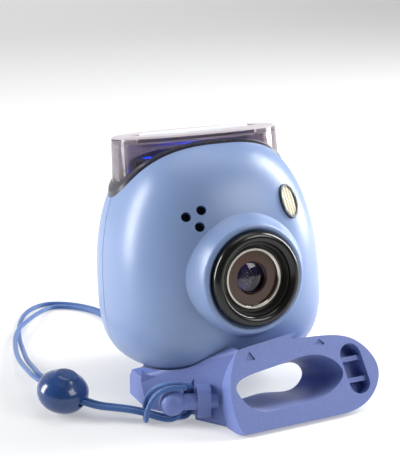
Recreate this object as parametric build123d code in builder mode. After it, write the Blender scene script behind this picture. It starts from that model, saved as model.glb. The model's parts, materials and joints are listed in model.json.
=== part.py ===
"""Pocket camera on a grip-ring stand, with a cord strap and a cord stopper.

The camera is modelled upright in its own seat frame (origin on its flat bottom, lens towards -Y)
and every camera piece is then set on the stand through one location, `seat`.
The whole object stands on Z = 0, its origin in the flat base of the stand's arm.
"""
from build123d import *
from math import cos, pi, radians, sin, tan
import os

os.makedirs("parts", exist_ok=True)

# ---------------------------------------------------------------- driving dimensions (mm)
# Camera housing: an egg whose level sections are squircles.
body_width = 42.3
body_depth = 36.5
body_centre_y = -1.9
belly_height = 15.0
below_belly = 15.5
above_belly = 28.5
dome_top = 43.1
cover_wall = 1.6
seam_groove = 0.2
snug = 0.05

# How the camera sits on the stand.
seat_x = 9.0
seat_y = 14.0
seat_height = 4.2
recline = 8.5
belly_clearance = 0.35

# Crown: the translucent cap on the shoulders, with the light bar in its top.
crown_width = 33.3
crown_depth = 18.6
crown_top = 44.4
crown_taper = 2.7
crown_wall = 1.3
crown_plate = 1.4
crown_bevel = 0.35
deck_top = 33.0
deck_thickness = 1.4
seal_width = 0.8
seal_proud = 0.35
bar_length = 23.0
bar_width = 3.2
bar_proud = 0.3
bar_travel = 0.4
eye_length = 27.0
eye_width = 7.6
eye_depth = 0.7

# Lens group, on an axis along Y.
lens_height = 18.25
nose_radius = 13.9
nose_front = -21.8
bezel_radius = 8.7
bezel_bore = 6.65
bezel_front = -23.4
bezel_seat = -18.6
lens_seat = -19.6
ring_outer_radius = 5.7
ring_inner_radius = 5.0
lens_radius = 2.85
boss_back = -16.5

# Flash and loudspeaker in the front cover.
flash_width = 4.5
flash_height = 6.6
speaker_radius = 5.15
speaker_hole = 1.8

# Rear controls.
button_height = 22.0
button_radius = 6.4
button_travel = 0.6
port_height = 7.6
port_width = 15.0
port_flap = 7.4
usb_width = 8.94
usb_tall = 3.2
usb_level = -1.3
card_width = 13.2
card_tall = 1.9
card_level = 2.0
card_depth = 15.0
slider_x = 12.6
slider_height = 12.5
slider_travel = 3.0

# Chassis and tripod bush.
chassis_front = 1.0
chassis_thickness = 1.4
bush_y = 1.5
bush_radius = 5.0
bush_height = 6.5
screw_radius = 3.175
thread_pitch = 1.27
running = 0.07

# Grip ring: its face leans back, its band runs down and back under the camera's belly.
ring_x = 3.1
ring_y = -15.4
ring_lean = 30.0
ring_back = -1.2
pad_radius = 6.4
pad_web = 1.55
scoop_x = 23.7
scoop_height = 7.9
scoop_length = 9.6
scoop_width = 4.4
mark_depth = 0.3

arm_end_x = -9.0
head_radius = 4.4
head_thickness = 1.05
washer_thickness = 0.3
screw_turns = 4

# Strap post on the arm's outer wall.
post_x = -2.15
post_y = -5.6
post_z = 4.05
post_reach = 5.3
neck_radius = 1.5
bulb_radius = 2.4

# Strap cord and its stopper.
cord_diameter = 1.0
stopper_x = -23.4
stopper_y = 8.9
stopper_z = 4.3
stopper_diameter = 9.6
stopper_tall = 7.8
plunger_radius = 3.1
plunger_travel = 1.0

seat = Location((seat_x, seat_y, seat_height), (-recline, 0, 0))


# ---------------------------------------------------------------- shared shapes
def squircle(half_width, half_depth, centre_y, power, count=28):
    """Points of a superellipse, for a closed smooth line."""
    points = []
    for step in range(count):
        turn = 2 * pi * (step + 0.5) / count
        across, along = cos(turn), sin(turn)
        x = half_width * abs(across) ** (2 / power) * (1 if across > 0 else -1)
        y = half_depth * abs(along) ** (2 / power) * (1 if along > 0 else -1)
        points.append((x, y + centre_y))
    return points


def egg_share(level, inset=0.0):
    """How much of the belly's width the egg still has at a level."""
    if level <= belly_height:
        return (1 - ((belly_height - level) / (below_belly - inset)) ** 3) ** (1 / 4)
    return (1 - ((level - belly_height) / (above_belly - inset)) ** 2.2) ** (1 / 3)


def egg(inset=0.0):
    """The housing's outer shape, drawn in by an inset (or grown, where it is negative)."""
    bottom = inset
    top = dome_top - inset
    levels = [bottom + (belly_height - bottom) * f for f in (0, 0.05, 0.12, 0.22, 0.38, 0.65, 1)]
    levels += [belly_height + (top - belly_height) * f for f in (0.28, 0.5, 0.68, 0.82, 0.92, 0.97, 1)]
    with BuildPart() as solid:
        for level in levels:
            share = egg_share(level, inset)
            half_width = (body_width / 2 - inset) * share
            half_depth = (body_depth / 2 - inset) * share
            with BuildSketch(Plane.XY.offset(level)):
                with BuildLine():
                    Spline(squircle(half_width, half_depth, body_centre_y, 2.5), periodic=True)
                make_face()
        loft()
    return solid.part


def egg_front(x, level):
    """The Y of the housing's front surface at a place."""
    share = egg_share(level)
    left = 1 - (abs(x) / (body_width / 2 * share)) ** 2.5
    return body_centre_y - body_depth / 2 * share * left ** 0.4


def egg_back(x, level):
    """The Y of the housing's back surface at a place."""
    return 2 * body_centre_y - egg_front(x, level)


def crown_block(grow, bottom, top, bevel=0.0):
    """The crown's tapered prism, grown sideways, between two levels, its top edge bevelled."""
    stops = [(bottom, grow), (top - bevel, grow)]
    if bevel:
        stops.append((top, grow - bevel))
    with BuildPart() as solid:
        for level, sideways in stops:
            spread = sideways + (crown_top - level) * tan(radians(crown_taper))
            with BuildSketch(Plane.XY.offset(level)):
                with BuildLine():
                    outline = squircle(crown_width / 2 + spread, crown_depth / 2 + spread, 0, 2.3)
                    Spline(outline, periodic=True)
                make_face()
        loft(ruled=True)
    return solid.part


def across(y, level, x=0.0):
    """The upright plane at a depth, looking back along +Y, with its own Y upward."""
    return Plane(origin=(x, y, level), x_dir=(-1, 0, 0), z_dir=(0, 1, 0))


def save(piece, name):
    """Write a piece that is already in the object's frame."""
    piece.label = name
    export_step(piece, f"parts/{name}.step")


def save_seated(piece, name):
    """Set a camera piece on the stand and write it."""
    save(seat * piece, name)


housing_outer = egg()
housing_inner = egg(cover_wall)
inside = egg(cover_wall + 0.06)
crown_hole = crown_block(seal_width + snug, deck_top - deck_thickness, dome_top + 3)
lens_axis = Axis((0, 0, lens_height), (0, 1, 0))
flash_y = egg_front(10.6, 30.8)
flash_plane = Plane(origin=(10.6, flash_y, 30.8), x_dir=(0.92, 0.39, 0), z_dir=(0.371, -0.881, 0.295))
speaker_y = egg_front(-9.0, 30.0)
speaker_plane = Plane(origin=(-9.0, speaker_y, 30.0), x_dir=(0.94, -0.33, 0), z_dir=(-0.31, -0.905, 0.28))
button_y = egg_back(0, button_height)
cover_screw_places = [(x, z) for x, z in ((-13.5, 5.6), (13.5, 5.6), (-16.0, 21.0), (16.0, 21.0))]
chassis_back = chassis_front + chassis_thickness


# ---------------------------------------------------------------- housing
def turned(outline):
    """A ring about the lens axis, from (radius, y) corners of its half section."""
    with BuildPart() as solid:
        with BuildSketch(Plane.YZ):
            with BuildLine():
                Polyline([(y, lens_height + radius) for radius, y in outline], close=True)
            make_face()
        revolve(axis=lens_axis)
    return solid.part


nose_rim = bezel_radius + 1.5


def nose():
    """The swelling that carries the lens: a hollow-sided cone with a rounded rim and a stepped bore."""
    back = boss_back
    with BuildPart() as solid:
        with BuildSketch(Plane.YZ):
            with BuildLine():
                inner = Polyline(
                    (nose_front, lens_height + bezel_radius + snug + 0.45),
                    (nose_front + 0.45, lens_height + bezel_radius + snug),
                    (bezel_seat, lens_height + bezel_radius + snug),
                    (bezel_seat, lens_height + bezel_radius - 0.7),
                    (back, lens_height + bezel_radius - 0.7),
                    (back, lens_height + nose_radius),
                )
                ThreePointArc(
                    inner @ 1,
                    (nose_front + 2.1, lens_height + nose_rim + 0.75),
                    (nose_front + 0.5, lens_height + nose_rim),
                )
                RadiusArc((nose_front + 0.5, lens_height + nose_rim), inner @ 0, -0.75)
            make_face()
        revolve(axis=lens_axis)
    return solid.part


def boss(x, z, radius, start, end):
    """A round post along Y."""
    with BuildPart() as solid:
        with BuildSketch(across(start, z, x)):
            Circle(radius)
        extrude(amount=end - start)
    return solid.part


def oval_prism(plane, width, height, near, far):
    """An upright oval bar along a plane's normal."""
    with BuildPart() as solid:
        with BuildSketch(plane.offset(near)):
            Ellipse(width / 2, height / 2)
        extrude(amount=far - near)
    return solid.part


with BuildPart() as seam_cut:
    Box(60, seam_groove, 100)
    add(egg(seam_groove * 0.8), mode=Mode.SUBTRACT)

boss_room = egg(0.5)
with BuildPart() as front_bosses:
    for place_x, place_z in cover_screw_places:
        add(boss(place_x, place_z, 2.0, egg_front(place_x, place_z), chassis_front))
    with BuildSketch(speaker_plane.offset(0.5)):
        Circle(speaker_radius + 1.1)
    extrude(amount=-3.6)
    add(boss_room, mode=Mode.INTERSECT)

button_plane = across(button_y, button_height)
button_seat = -2.5
with BuildPart() as rear_bosses:
    for place_x, place_z in cover_screw_places:
        add(boss(place_x, place_z, 2.0, chassis_back, egg_back(place_x, place_z)))
    with BuildSketch(button_plane.offset(button_seat)):
        Circle(button_radius + 2.2)
    extrude(amount=3)
    add(boss_room, mode=Mode.INTERSECT)

flap_plane = across(egg_back(0, port_height) - 4, port_height)
socket_mouth_y = egg_back(0, port_height) - 1.8
with BuildPart() as bush_bore:
    with BuildSketch(Plane.XY.offset(-3)):
        with Locations((0, bush_y)):
            Circle(bush_radius + snug)
    extrude(amount=12)

with BuildPart() as front_cover:
    add(housing_outer)
    add(nose())
    add(housing_inner, mode=Mode.SUBTRACT)
    split(bisect_by=Plane.XZ, keep=Keep.TOP)
    add(nose())
    add(front_bosses.part)
    add(turned([(0, -40), (bezel_radius + snug, -40), (bezel_radius + snug, bezel_seat), (0, bezel_seat)]),
        mode=Mode.SUBTRACT)
    add(turned([(0, -40), (bezel_radius - 0.7, -40), (bezel_radius - 0.7, 0), (0, 0)]), mode=Mode.SUBTRACT)
    with BuildSketch(speaker_plane.offset(-6)):
        Circle(speaker_radius + snug)
    extrude(amount=3.6, mode=Mode.SUBTRACT)
    with BuildSketch(speaker_plane.offset(-3)):
        with PolarLocations(1.75, 3, start_angle=170):
            Circle(speaker_hole / 2)
    extrude(amount=5, mode=Mode.SUBTRACT)
    add(oval_prism(flash_plane, flash_width + 2 * snug, flash_height + 2 * snug, -6, 2), mode=Mode.SUBTRACT)
    add(crown_hole, mode=Mode.SUBTRACT)
    add(bush_bore.part, mode=Mode.SUBTRACT)
    add(seam_cut.part, mode=Mode.SUBTRACT)
    for place_x, place_z in cover_screw_places:
        add(boss(place_x, place_z, 0.6, -4.2, chassis_front + 1), mode=Mode.SUBTRACT)
save_seated(front_cover.part, "front_cover")


def flap_prism(grow):
    """The rounded window of the port cover, looking along Y."""
    with BuildPart() as solid:
        with BuildSketch(flap_plane):
            RectangleRounded(port_width + 2 * grow, port_flap + 2 * grow, 1.6 + grow)
        extrude(amount=12)
    return solid.part


slider_y = egg_back(slider_x, slider_height)
slider_plane = across(slider_y, slider_height, slider_x)
with BuildPart() as rear_cover:
    add(housing_outer)
    add(housing_inner, mode=Mode.SUBTRACT)
    split(bisect_by=Plane.XZ, keep=Keep.BOTTOM)
    add(rear_bosses.part)
    with BuildSketch(button_plane.offset(-4)):
        Circle(button_radius + running)
    extrude(amount=8, mode=Mode.SUBTRACT)
    with BuildSketch(button_plane.offset(button_seat)):
        Circle(button_radius + 1.1)
    extrude(amount=-3.5, mode=Mode.SUBTRACT)
    add(flap_prism(0.15), mode=Mode.SUBTRACT)
    with BuildSketch(slider_plane.offset(-4)):
        RectangleRounded(2.2, 2.2 + slider_travel, 1.05)
    extrude(amount=8, mode=Mode.SUBTRACT)
    with BuildSketch(slider_plane.offset(-2.5)):
        RectangleRounded(3.9, 3.9 + slider_travel, 0.5)
    extrude(amount=-4, mode=Mode.SUBTRACT)
    add(crown_hole, mode=Mode.SUBTRACT)
    add(bush_bore.part, mode=Mode.SUBTRACT)
    add(seam_cut.part, mode=Mode.SUBTRACT)
    for place_x, place_z in cover_screw_places:
        outer_y = egg_back(place_x, place_z)
        add(boss(place_x, place_z, 0.85, chassis_back - 1, outer_y), mode=Mode.SUBTRACT)
        add(boss(place_x, place_z, 1.5, outer_y - 2.6, outer_y + 3), mode=Mode.SUBTRACT)
save_seated(rear_cover.part, "rear_cover")

# The shelf that the sockets stand on closes the port's window from behind.
with BuildPart() as port_shelf:
    add(egg(cover_wall + 0.05))
    add(egg(cover_wall + 1.05), mode=Mode.SUBTRACT)
    split(bisect_by=Plane.XZ, keep=Keep.BOTTOM)
    add(flap_prism(1.0), mode=Mode.INTERSECT)
    with BuildSketch(flap_plane.offset(-6)):
        with Locations((0, usb_level)):
            SlotOverall(usb_width + 0.1, usb_tall + 0.1)
        with Locations((0, card_level)):
            Rectangle(card_width + 0.1, card_tall + 0.1)
    extrude(amount=20, mode=Mode.SUBTRACT)
save_seated(port_shelf.part, "port_shelf")

with BuildPart() as port_cover:
    add(housing_outer)
    add(egg(1.3), mode=Mode.SUBTRACT)
    split(bisect_by=Plane.XZ, keep=Keep.BOTTOM)
    add(flap_prism(0), mode=Mode.INTERSECT)
save_seated(port_cover.part, "port_cover")

# ---------------------------------------------------------------- crown
with BuildPart() as crown:
    add(crown_block(0, deck_top, crown_top, crown_bevel))
    with BuildSketch(Plane.XY.offset(crown_top)):
        with BuildLine():
            ThreePointArc((-eye_length / 2, 0), (0, eye_width / 2), (eye_length / 2, 0))
            ThreePointArc((eye_length / 2, 0), (0, -eye_width / 2), (-eye_length / 2, 0))
        make_face()
    extrude(amount=-eye_depth, mode=Mode.SUBTRACT)
    add(crown_block(-crown_wall, deck_top - 1, crown_top - crown_plate), mode=Mode.SUBTRACT)
    with BuildSketch(Plane.XY.offset(crown_top - 3)):
        SlotOverall(bar_length + 2 * running, bar_width + 2 * running)
    extrude(amount=6, mode=Mode.SUBTRACT)
save_seated(crown.part, "crown")

with BuildPart() as crown_seal:
    add(egg(-seal_proud))
    add(crown_block(seal_width, deck_top - deck_thickness, dome_top + 1), mode=Mode.INTERSECT)
    add(crown_block(0.02, deck_top - deck_thickness - 1, dome_top + 2), mode=Mode.SUBTRACT)
    add(housing_inner, mode=Mode.SUBTRACT)
save_seated(crown_seal.part, "crown_seal")

plate_under = crown_top - crown_plate
with BuildPart() as power_bar:
    with BuildSketch(Plane.XY.offset(plate_under)):
        SlotOverall(bar_length, bar_width)
    extrude(amount=crown_plate + bar_proud)
    fillet(power_bar.edges().group_by(Axis.Z)[-1], 0.6)
    with BuildSketch(Plane.XY.offset(plate_under - snug)):
        SlotOverall(bar_length + 1.6, bar_width + 1.4)
    extrude(amount=-0.8)
    with BuildSketch(Plane.XY.offset(plate_under - snug - 0.8)):
        Rectangle(3, 1.6)
    extrude(amount=-5.6)
    with BuildSketch(Plane.XY.offset(plate_under - snug)):
        SlotOverall(bar_length, bar_width)
    extrude(amount=snug)
save_seated(power_bar.part, "power_bar")

board_top = deck_top + 1.0
with BuildPart() as light_guide:
    with BuildSketch(Plane.XY.offset(board_top + 1.4)):
        SlotOverall(27, 9.6)
        Rectangle(6, 6, mode=Mode.SUBTRACT)
    extrude(amount=4.2)
    with BuildSketch(Plane.XY.offset(board_top)):
        with Locations((-12.6, 0), (12.6, 0)):
            Circle(0.8)
    extrude(amount=1.4)
save_seated(light_guide.part, "light_guide")

with BuildPart() as led_board:
    with BuildSketch(Plane.XY.offset(deck_top)):
        SlotOverall(29, 11)
    extrude(amount=1.0)
save_seated(led_board.part, "led_board")

with BuildPart() as status_leds:
    with BuildSketch(Plane.XY.offset(board_top)):
        with GridLocations(3.6, 5.0, 6, 2):
            Rectangle(1.6, 0.8)
    extrude(amount=0.6)
save_seated(status_leds.part, "status_leds")

with BuildPart() as power_switch:
    with BuildSketch(Plane.XY.offset(board_top)):
        Rectangle(4.2, 3.2)
    extrude(amount=1.2)
    with BuildSketch(Plane.XY.offset(board_top + 1.2)):
        Circle(0.9)
    extrude(amount=plate_under - snug - 6.4 - bar_travel - 0.1 - board_top - 1.2)
save_seated(power_switch.part, "power_switch")

# ---------------------------------------------------------------- lens group
with BuildPart() as lens_bezel:
    with BuildSketch(Plane.YZ):
        with BuildLine():
            wall = Polyline(
                (bezel_front + 1.0, lens_height + bezel_radius),
                (bezel_seat, lens_height + bezel_radius),
                (bezel_seat, lens_height + bezel_bore),
                (bezel_front + 0.7, lens_height + bezel_bore),
            )
            ThreePointArc(
                wall @ 1,
                (bezel_front, lens_height + (bezel_bore + bezel_radius) / 2),
                wall @ 0,
            )
        make_face()
    revolve(axis=lens_axis)
save_seated(lens_bezel.part, "lens_bezel")

cone_radius = bezel_bore - snug
ring_bore = ring_outer_radius + snug
lens_cone = turned([
    (cone_radius, lens_seat),
    (cone_radius, -22.4),
    (cone_radius - 0.25, -22.4),
    (ring_bore + 0.35, -21.0),
    (ring_bore, -20.9),
    (ring_bore, lens_seat),
])
save_seated(lens_cone, "lens_cone")

lens_ring = turned([
    (ring_outer_radius, lens_seat),
    (ring_outer_radius, -21.15),
    (ring_outer_radius - 0.2, -21.35),
    (ring_inner_radius + 0.15, -21.35),
    (ring_inner_radius, -21.2),
    (ring_inner_radius, lens_seat),
])
save_seated(lens_ring, "lens_ring")

lens_plate = turned([
    (ring_inner_radius - snug, lens_seat),
    (ring_inner_radius - snug, -20.6),
    (lens_radius + 0.25, -20.6),
    (lens_radius + snug, -20.35),
    (lens_radius + snug, lens_seat),
])
save_seated(lens_plate, "lens_plate")

lens_mount_radius = nose_radius - 1.9
sensor_front = -14.4
with BuildPart() as lens_holder:
    add(turned([
        (2.3, boss_back),
        (lens_mount_radius, boss_back),
        (lens_mount_radius, boss_back + 1.0),
        (2.3, boss_back + 1.0),
    ]))
    add(inside, mode=Mode.INTERSECT)
    with BuildSketch(speaker_plane.offset(-8)):
        Circle(speaker_radius + 1.4)
    extrude(amount=9, mode=Mode.SUBTRACT)
    add(turned([
        (lens_radius + snug, lens_seat),
        (cone_radius, lens_seat),
        (cone_radius, boss_back + 1.0),
        (2.3, boss_back + 1.0),
        (2.3, -18.3),
        (lens_radius + snug, -18.3),
    ]))
    with BuildSketch(across(boss_back + 1.0, lens_height)):
        Rectangle(10, 10)
        Rectangle(6.4, 6.4, mode=Mode.SUBTRACT)
    extrude(amount=sensor_front + 0.9 - boss_back - 1.0)
    with BuildSketch(across(boss_back - 0.5, lens_height)):
        with PolarLocations(lens_mount_radius - 1.3, 3, start_angle=90):
            Circle(0.75)
    extrude(amount=3, mode=Mode.SUBTRACT)
save_seated(lens_holder.part, "lens_holder")

with BuildPart() as front_lens:
    with BuildSketch(Plane.YZ):
        with BuildLine():
            edge = Polyline(
                (-19.9, lens_height + lens_radius),
                (-18.3, lens_height + lens_radius),
                (-18.3, lens_height + 2.3),
                (-18.8, lens_height),
                (-20.5, lens_height),
            )
            ThreePointArc(edge @ 1, (-20.36, lens_height + 1.4), edge @ 0)
        make_face()
    revolve(axis=lens_axis)
save_seated(front_lens.part, "front_lens")

rear_lens = turned([(0, -17.6), (2.25, -17.2), (2.25, -16.2), (0, -16.0)])
save_seated(rear_lens, "rear_lens")

board_y = sensor_front + 0.9
with BuildPart() as ir_filter:
    with BuildSketch(across(boss_back + 1.0, lens_height)):
        Rectangle(6.3, 6.3)
    extrude(amount=0.35)
save_seated(ir_filter.part, "ir_filter")

with BuildPart() as image_sensor:
    with BuildSketch(across(sensor_front, lens_height)):
        Rectangle(5.6, 5.6)
    extrude(amount=0.9)
save_seated(image_sensor.part, "image_sensor")

with BuildPart() as sensor_board:
    with BuildSketch(across(board_y, lens_height)):
        RectangleRounded(12, 14, 1)
    extrude(amount=0.8)
save_seated(sensor_board.part, "sensor_board")

main_board_y = -2.2
with BuildPart() as sensor_ribbon:
    with BuildSketch(Plane.YZ.offset(-3)):
        with BuildLine():
            ribbon = FilletPolyline(
                (board_y + 0.86, lens_height - 3),
                (board_y + 3.0, lens_height - 3),
                (board_y + 6.0, lens_height - 8),
                (main_board_y - 0.06, lens_height - 8),
                radius=0.8,
            )
            offset(ribbon, amount=0.06, side=Side.BOTH)
        make_face()
    extrude(amount=6)
save_seated(sensor_ribbon.part, "sensor_ribbon")

with BuildPart() as lens_screws:
    with BuildSketch(across(boss_back + 1.0, lens_height)):
        with PolarLocations(lens_mount_radius - 1.3, 3, start_angle=90):
            Circle(1.2)
    extrude(amount=0.9)
    with BuildSketch(across(boss_back, lens_height)):
        with PolarLocations(lens_mount_radius - 1.3, 3, start_angle=90):
            Circle(0.7)
    extrude(amount=1.0)
save_seated(lens_screws.part, "lens_screws")

# ---------------------------------------------------------------- flash
with BuildPart() as flash_bezel:
    with BuildSketch(flash_plane.offset(-2.2)):
        Ellipse(flash_width / 2, flash_height / 2)
        Ellipse(flash_width / 2 - 0.42, flash_height / 2 - 0.42, mode=Mode.SUBTRACT)
    extrude(amount=2.55)
    chamfer(flash_bezel.edges().group_by(SortBy.LENGTH)[-1], 0.12)
save_seated(flash_bezel.part, "flash_bezel")

pane_width = flash_width - 0.84 - 2 * snug
pane_height = flash_height - 0.84 - 2 * snug
with BuildPart() as flash_window:
    with BuildSketch(flash_plane.offset(-1.0)):
        Ellipse(pane_width / 2, pane_height / 2)
    extrude(amount=0.9)
    with BuildSketch(flash_plane.offset(-0.1)):
        Ellipse(pane_width / 2, pane_height / 2)
        with GridLocations(0.8, 1, 5, 1):
            Rectangle(0.36, pane_height, mode=Mode.SUBTRACT)
    extrude(amount=0.22)
save_seated(flash_window.part, "flash_window")

with BuildPart() as flash_reflector:
    with BuildSketch(flash_plane.offset(-2.2)):
        Ellipse(flash_width / 2, flash_height / 2)
    extrude(amount=-2.4)
    with BuildSketch(flash_plane.offset(-2.2)):
        Rectangle(2.4, 4.2)
    extrude(amount=-1.9, mode=Mode.SUBTRACT)
save_seated(flash_reflector.part, "flash_reflector")

with BuildPart() as flash_tube:
    with BuildSketch(Plane(origin=flash_plane.offset(-3.3).origin - flash_plane.y_dir * 2.1,
                           z_dir=flash_plane.y_dir)):
        Circle(0.65)
    extrude(amount=4.2)
save_seated(flash_tube.part, "flash_tube")

with BuildPart() as flash_capacitor:
    with BuildSketch(Plane.XY.offset(8.2)):
        with Locations((12.6, -6.4)):
            Circle(3.0)
    extrude(amount=10.2)
save_seated(flash_capacitor.part, "flash_capacitor")

# ---------------------------------------------------------------- loudspeaker
with BuildPart() as speaker_mesh:
    with BuildSketch(speaker_plane.offset(-2.7)):
        Circle(speaker_radius)
    extrude(amount=0.3)
save_seated(speaker_mesh.part, "speaker_mesh")

with BuildPart() as speaker:
    with BuildSketch(speaker_plane.offset(-2.7)):
        Circle(speaker_radius)
    extrude(amount=-1.2)
    with BuildSketch(speaker_plane.offset(-3.9)):
        Circle(speaker_radius - 1.6)
    extrude(amount=-1.2)
save_seated(speaker.part, "speaker")

# ---------------------------------------------------------------- chassis and boards
main_board_thickness = 1.0
battery_depth = 5.6
switch_board_y = chassis_back + battery_depth + 0.6
with BuildPart() as chassis:
    with BuildSketch(across(chassis_front, 18)):
        Rectangle(60, 60)
    extrude(amount=chassis_thickness)
    with BuildSketch(Plane.XY.offset(deck_top - deck_thickness)):
        Rectangle(60, 60)
    extrude(amount=deck_thickness)
    with BuildSketch(Plane.XY.offset(deck_top)):
        Rectangle(60, 60)
    extrude(amount=20, mode=Mode.SUBTRACT)
    with BuildSketch(Plane.XY.offset(1.0)):
        with Locations((0, bush_y)):
            Rectangle(15, 12)
    extrude(amount=bush_height + 0.4)
    add(inside, mode=Mode.INTERSECT)
    for place_x, place_z in cover_screw_places:
        add(boss(place_x, place_z, 0.85, chassis_front - 1, chassis_back + 1), mode=Mode.SUBTRACT)
    add(oval_prism(flash_plane, 9, 10, -9, 2), mode=Mode.SUBTRACT)
    with BuildSketch(speaker_plane.offset(-6)):
        Circle(speaker_radius + 1.4)
    extrude(amount=8, mode=Mode.SUBTRACT)
    with BuildSketch(Plane.XY):
        with Locations((0, bush_y)):
            Circle(bush_radius + snug)
    extrude(amount=bush_height, mode=Mode.SUBTRACT)
    with BuildSketch(Plane.XY.offset(bush_height)):
        with Locations((0, bush_y)):
            Circle(bush_radius - 1)
    extrude(amount=4, mode=Mode.SUBTRACT)
    with BuildSketch(across(chassis_front - 1, port_height)):
        with Locations((0, card_level)):
            Rectangle(card_width + 0.4, card_tall + 0.4)
    extrude(amount=10, mode=Mode.SUBTRACT)
    with BuildSketch(across(main_board_y + main_board_thickness, 20)):
        with GridLocations(24, 13, 2, 2):
            Circle(1.2)
    extrude(amount=chassis_front - main_board_y - main_board_thickness)
save_seated(chassis.part, "chassis")

with BuildPart() as main_board:
    with BuildSketch(across(main_board_y, 20)):
        RectangleRounded(27.5, 19, 1)
    extrude(amount=main_board_thickness)
save_seated(main_board.part, "main_board")

with BuildPart() as battery:
    with BuildSketch(across(chassis_back, 20.5)):
        RectangleRounded(25, 19, 1)
    extrude(amount=battery_depth)
save_seated(battery.part, "battery")

with BuildPart() as switch_board:
    with BuildSketch(across(switch_board_y - 0.6, button_height)):
        RectangleRounded(20, 12, 1)
    extrude(amount=0.8)
save_seated(switch_board.part, "switch_board")

switch_top = 1.1
with BuildPart() as shutter_switch:
    with BuildSketch(across(switch_board_y + 0.2, button_height)):
        Rectangle(3.2, 3.2)
    extrude(amount=switch_top)
save_seated(shutter_switch.part, "shutter_switch")

with BuildPart() as shutter_button:
    with BuildSketch(button_plane.offset(button_seat - snug)):
        Circle(button_radius + 1.0)
    extrude(amount=-0.8)
    with BuildSketch(button_plane.offset(button_seat - snug)):
        Circle(button_radius)
    extrude(amount=3.4)
    fillet(shutter_button.edges().group_by(Axis.Y)[-1], 0.6)
    with BuildSketch(button_plane.offset(button_seat - snug)):
        Circle(1.2)
    extrude(amount=switch_board_y + 0.2 + switch_top + button_travel + snug - button_y - button_seat)
save_seated(shutter_button.part, "shutter_button")

spring_start = switch_board_y + 0.2
spring_end = button_y + button_seat - snug - 0.8
with BuildPart() as shutter_spring:
    with BuildLine():
        coil = Helix(
            pitch=0.9,
            height=spring_end - spring_start - 0.4,
            radius=2.9,
            center=(0, spring_start + 0.2, button_height),
            direction=(0, 1, 0),
        )
    with BuildSketch(Plane(origin=coil @ 0, z_dir=coil % 0)):
        Circle(0.15)
    sweep(is_frenet=True)
save_seated(shutter_spring.part, "shutter_spring")

slider_rest = slider_height - slider_travel / 2
with BuildPart() as mode_slider:
    with BuildSketch(across(slider_y - 3.6, slider_rest, slider_x)):
        RectangleRounded(3.6, 3.6, 0.4)
    extrude(amount=1.0)
    with BuildSketch(across(slider_y - 2.6, slider_rest, slider_x)):
        RectangleRounded(2.0, 2.0, 0.95)
    extrude(amount=3.0)
save_seated(mode_slider.part, "mode_slider")

with BuildPart() as mode_switch:
    with BuildSketch(slider_plane.offset(-3.7)):
        RectangleRounded(4.0, 8.0, 0.4)
    extrude(amount=-1.8)
save_seated(mode_switch.part, "mode_switch")

with BuildPart() as usb_socket:
    with BuildSketch(flap_plane.offset(-4.2)):
        with Locations((0, usb_level)):
            SlotOverall(usb_width, usb_tall)
    extrude(amount=5.4)
    with BuildSketch(flap_plane.offset(-3.4)):
        with Locations((0, usb_level)):
            SlotOverall(usb_width - 0.6, usb_tall - 0.64)
            Rectangle(6.6, 0.7, mode=Mode.SUBTRACT)
    extrude(amount=6.4, mode=Mode.SUBTRACT)
save_seated(usb_socket.part, "usb_socket")

with BuildPart() as card_socket:
    with BuildSketch(across(socket_mouth_y - card_depth, port_height)):
        with Locations((0, card_level)):
            Rectangle(card_width, card_tall)
    extrude(amount=card_depth)
    with BuildSketch(across(socket_mouth_y - card_depth + 1, port_height)):
        with Locations((0, card_level)):
            Rectangle(card_width - 2, card_tall - 0.9)
    extrude(amount=card_depth, mode=Mode.SUBTRACT)
save_seated(card_socket.part, "card_socket")

with BuildPart() as cover_screws:
    for place_x, place_z in cover_screw_places:
        head_y = egg_back(place_x, place_z) - 2.6
        add(boss(place_x, place_z, 1.4, head_y, head_y + 0.9))
        add(boss(place_x, place_z, 0.58, -4.0, head_y))
save_seated(cover_screws.part, "cover_screws")

with BuildPart() as tripod_bush:
    with BuildSketch(Plane.XY):
        with Locations((0, bush_y)):
            Circle(bush_radius)
            Circle(screw_radius + running, mode=Mode.SUBTRACT)
    extrude(amount=bush_height)
save_seated(tripod_bush.part, "tripod_bush")

# ---------------------------------------------------------------- grip-ring stand
ring_plane = Plane(
    origin=(ring_x, ring_y, 0.5),
    x_dir=(1, 0, 0),
    z_dir=(0, -cos(radians(ring_lean)), sin(radians(ring_lean))),
)
screw_plane = Plane(seat * Location((0, bush_y, 0)))
screw_axis = Axis(screw_plane.origin, screw_plane.z_dir)

post_axis = Vector(-0.95, 0.312, 0).normalized()
post_plane = Plane(origin=(post_x, post_y, post_z), x_dir=(0, 0, 1), z_dir=post_axis)

with BuildPart() as floor_cut:
    with BuildSketch(Plane.XY):
        Rectangle(400, 400)
    extrude(amount=-100)

with BuildPart() as belly_room:
    add(seat * egg(-belly_clearance))
    add(seat * turned([(0, -40), (nose_rim + 0.9, -40), (nose_rim + 0.9, -20.5), (nose_radius, -14), (0, -14)]))


def tunnel():
    """The finger hole: an oval in the ring's face that flattens towards the back."""
    with BuildPart() as solid:
        with BuildSketch(ring_plane):
            with BuildLine():
                Spline((-0.9, 7.7), (2.4, 3.9), (9.5, 3.5), (17.5, 4.6), (21.0, 7.8), (18.0, 11.2),
                       (11.0, 11.6), (3.6, 10.6), periodic=True)
            make_face()
        with BuildSketch(Plane(origin=(ring_x + 9.4, ring_back, 3.3), x_dir=(1, 0, 0), z_dir=(0, -1, 0))):
            with BuildLine():
                Spline((-9.0, 0), (-8.0, -2.0), (0, -2.3), (8.0, -2.0), (9.0, 0), (8.0, 2.0),
                       (0, 2.3), (-8.0, 2.0), periodic=True)
            make_face()
        loft()
        extrude(solid.faces().sort_by(Axis.Y)[-1], amount=12)
        extrude(solid.faces().filter_by(GeomType.PLANE).sort_by(Axis.Y)[0], amount=3)
    return solid.part


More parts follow.
